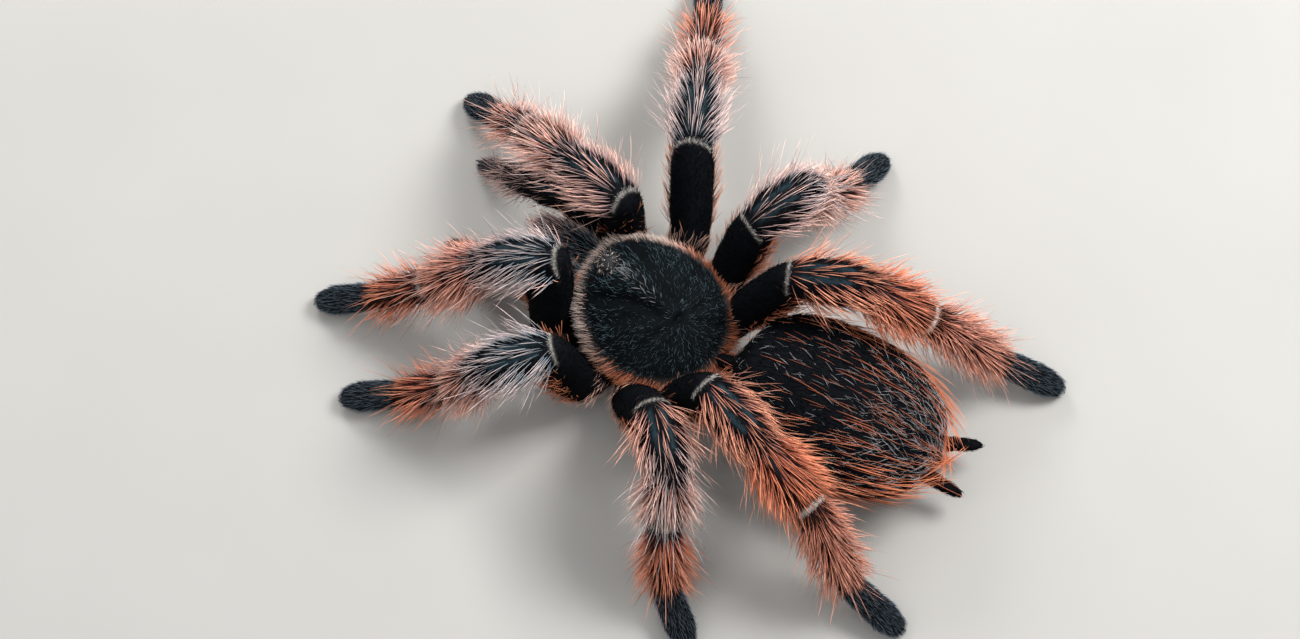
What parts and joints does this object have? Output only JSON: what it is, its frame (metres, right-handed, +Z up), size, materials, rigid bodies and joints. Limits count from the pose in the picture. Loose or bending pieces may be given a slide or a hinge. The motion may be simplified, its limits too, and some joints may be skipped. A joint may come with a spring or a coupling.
{
  "type": "mexican pink tarantula",
  "caption": "Life-size still model of a black and pink-orange haired tarantula at rest on the floor, with black head shield, bristly legs and a rounded abdomen.",
  "frame": {"origin": "on the floor, under the middle of the animal's bounding box", "axes": "+Z up; the head points towards -Y and the animal's left side is towards +X"},
  "size_m": [0.0966, 0.1062, 0.0274],
  "materials": {
    "shell": "dark horny head shield with short grey hairs",
    "velvet": "black velvety skin",
    "abdomen_coat": "black velvety skin under long orange hairs",
    "knee_coat": "grey-black skin with bald stripes under pale pink strands",
    "leg_coat": "skin under dense pink-orange hair",
    "horn": "glossy black horn",
    "eye": "glossy dark bead",
    "hair_orange": "fine orange bristle",
    "hair_pink": "fine pale pink bristle",
    "hair_dark": "fine black bristle",
    "hair_grey": "fine grey bristle"
  },
  "bodies": {
    "root": {"carapace": "shell", "eye_mound": "shell", "sternum": "velvet", "abdomen": "abdomen_coat", "pedicel": "velvet", "chelicera_left": "velvet", "fang_left": "horn", "spinneret_left": "velvet", "chelicera_right": "velvet", "fang_right": "horn", "spinneret_right": "velvet", "leg_1_left_hip": "velvet", "leg_1_left_femur": "velvet", "leg_1_left_patella": "knee_coat", "leg_1_left_tibia": "leg_coat", "leg_1_left_foot": "leg_coat", "leg_1_right_hip": "velvet", "leg_1_right_femur": "velvet", "leg_1_right_patella": "knee_coat", "leg_1_right_tibia": "leg_coat", "leg_1_right_foot": "leg_coat", "leg_2_left_hip": "velvet", "leg_2_left_femur": "velvet", "leg_2_left_patella": "knee_coat", "leg_2_left_tibia": "leg_coat", "leg_2_left_foot": "leg_coat", "leg_2_right_hip": "velvet", "leg_2_right_femur": "velvet", "leg_2_right_patella": "knee_coat", "leg_2_right_tibia": "leg_coat", "leg_2_right_foot": "leg_coat", "leg_3_left_hip": "velvet", "leg_3_left_femur": "velvet", "leg_3_left_patella": "knee_coat", "leg_3_left_tibia": "leg_coat", "leg_3_left_foot": "leg_coat", "leg_3_right_hip": "velvet", "leg_3_right_femur": "velvet", "leg_3_right_patella": "knee_coat", "leg_3_right_tibia": "leg_coat", "leg_3_right_foot": "leg_coat", "leg_4_left_hip": "velvet", "leg_4_left_femur": "velvet", "leg_4_left_patella": "knee_coat", "leg_4_left_tibia": "leg_coat", "leg_4_left_foot": "leg_coat", "leg_4_right_hip": "velvet", "leg_4_right_femur": "velvet", "leg_4_right_patella": "knee_coat", "leg_4_right_tibia": "leg_coat", "leg_4_right_foot": "leg_coat", "palp_left_hip": "velvet", "palp_left_femur": "velvet", "palp_left_patella": "knee_coat", "palp_left_foot": "knee_coat", "palp_right_hip": "velvet", "palp_right_femur": "velvet", "palp_right_patella": "knee_coat", "palp_right_foot": "knee_coat"}
  },
  "joints": []
}
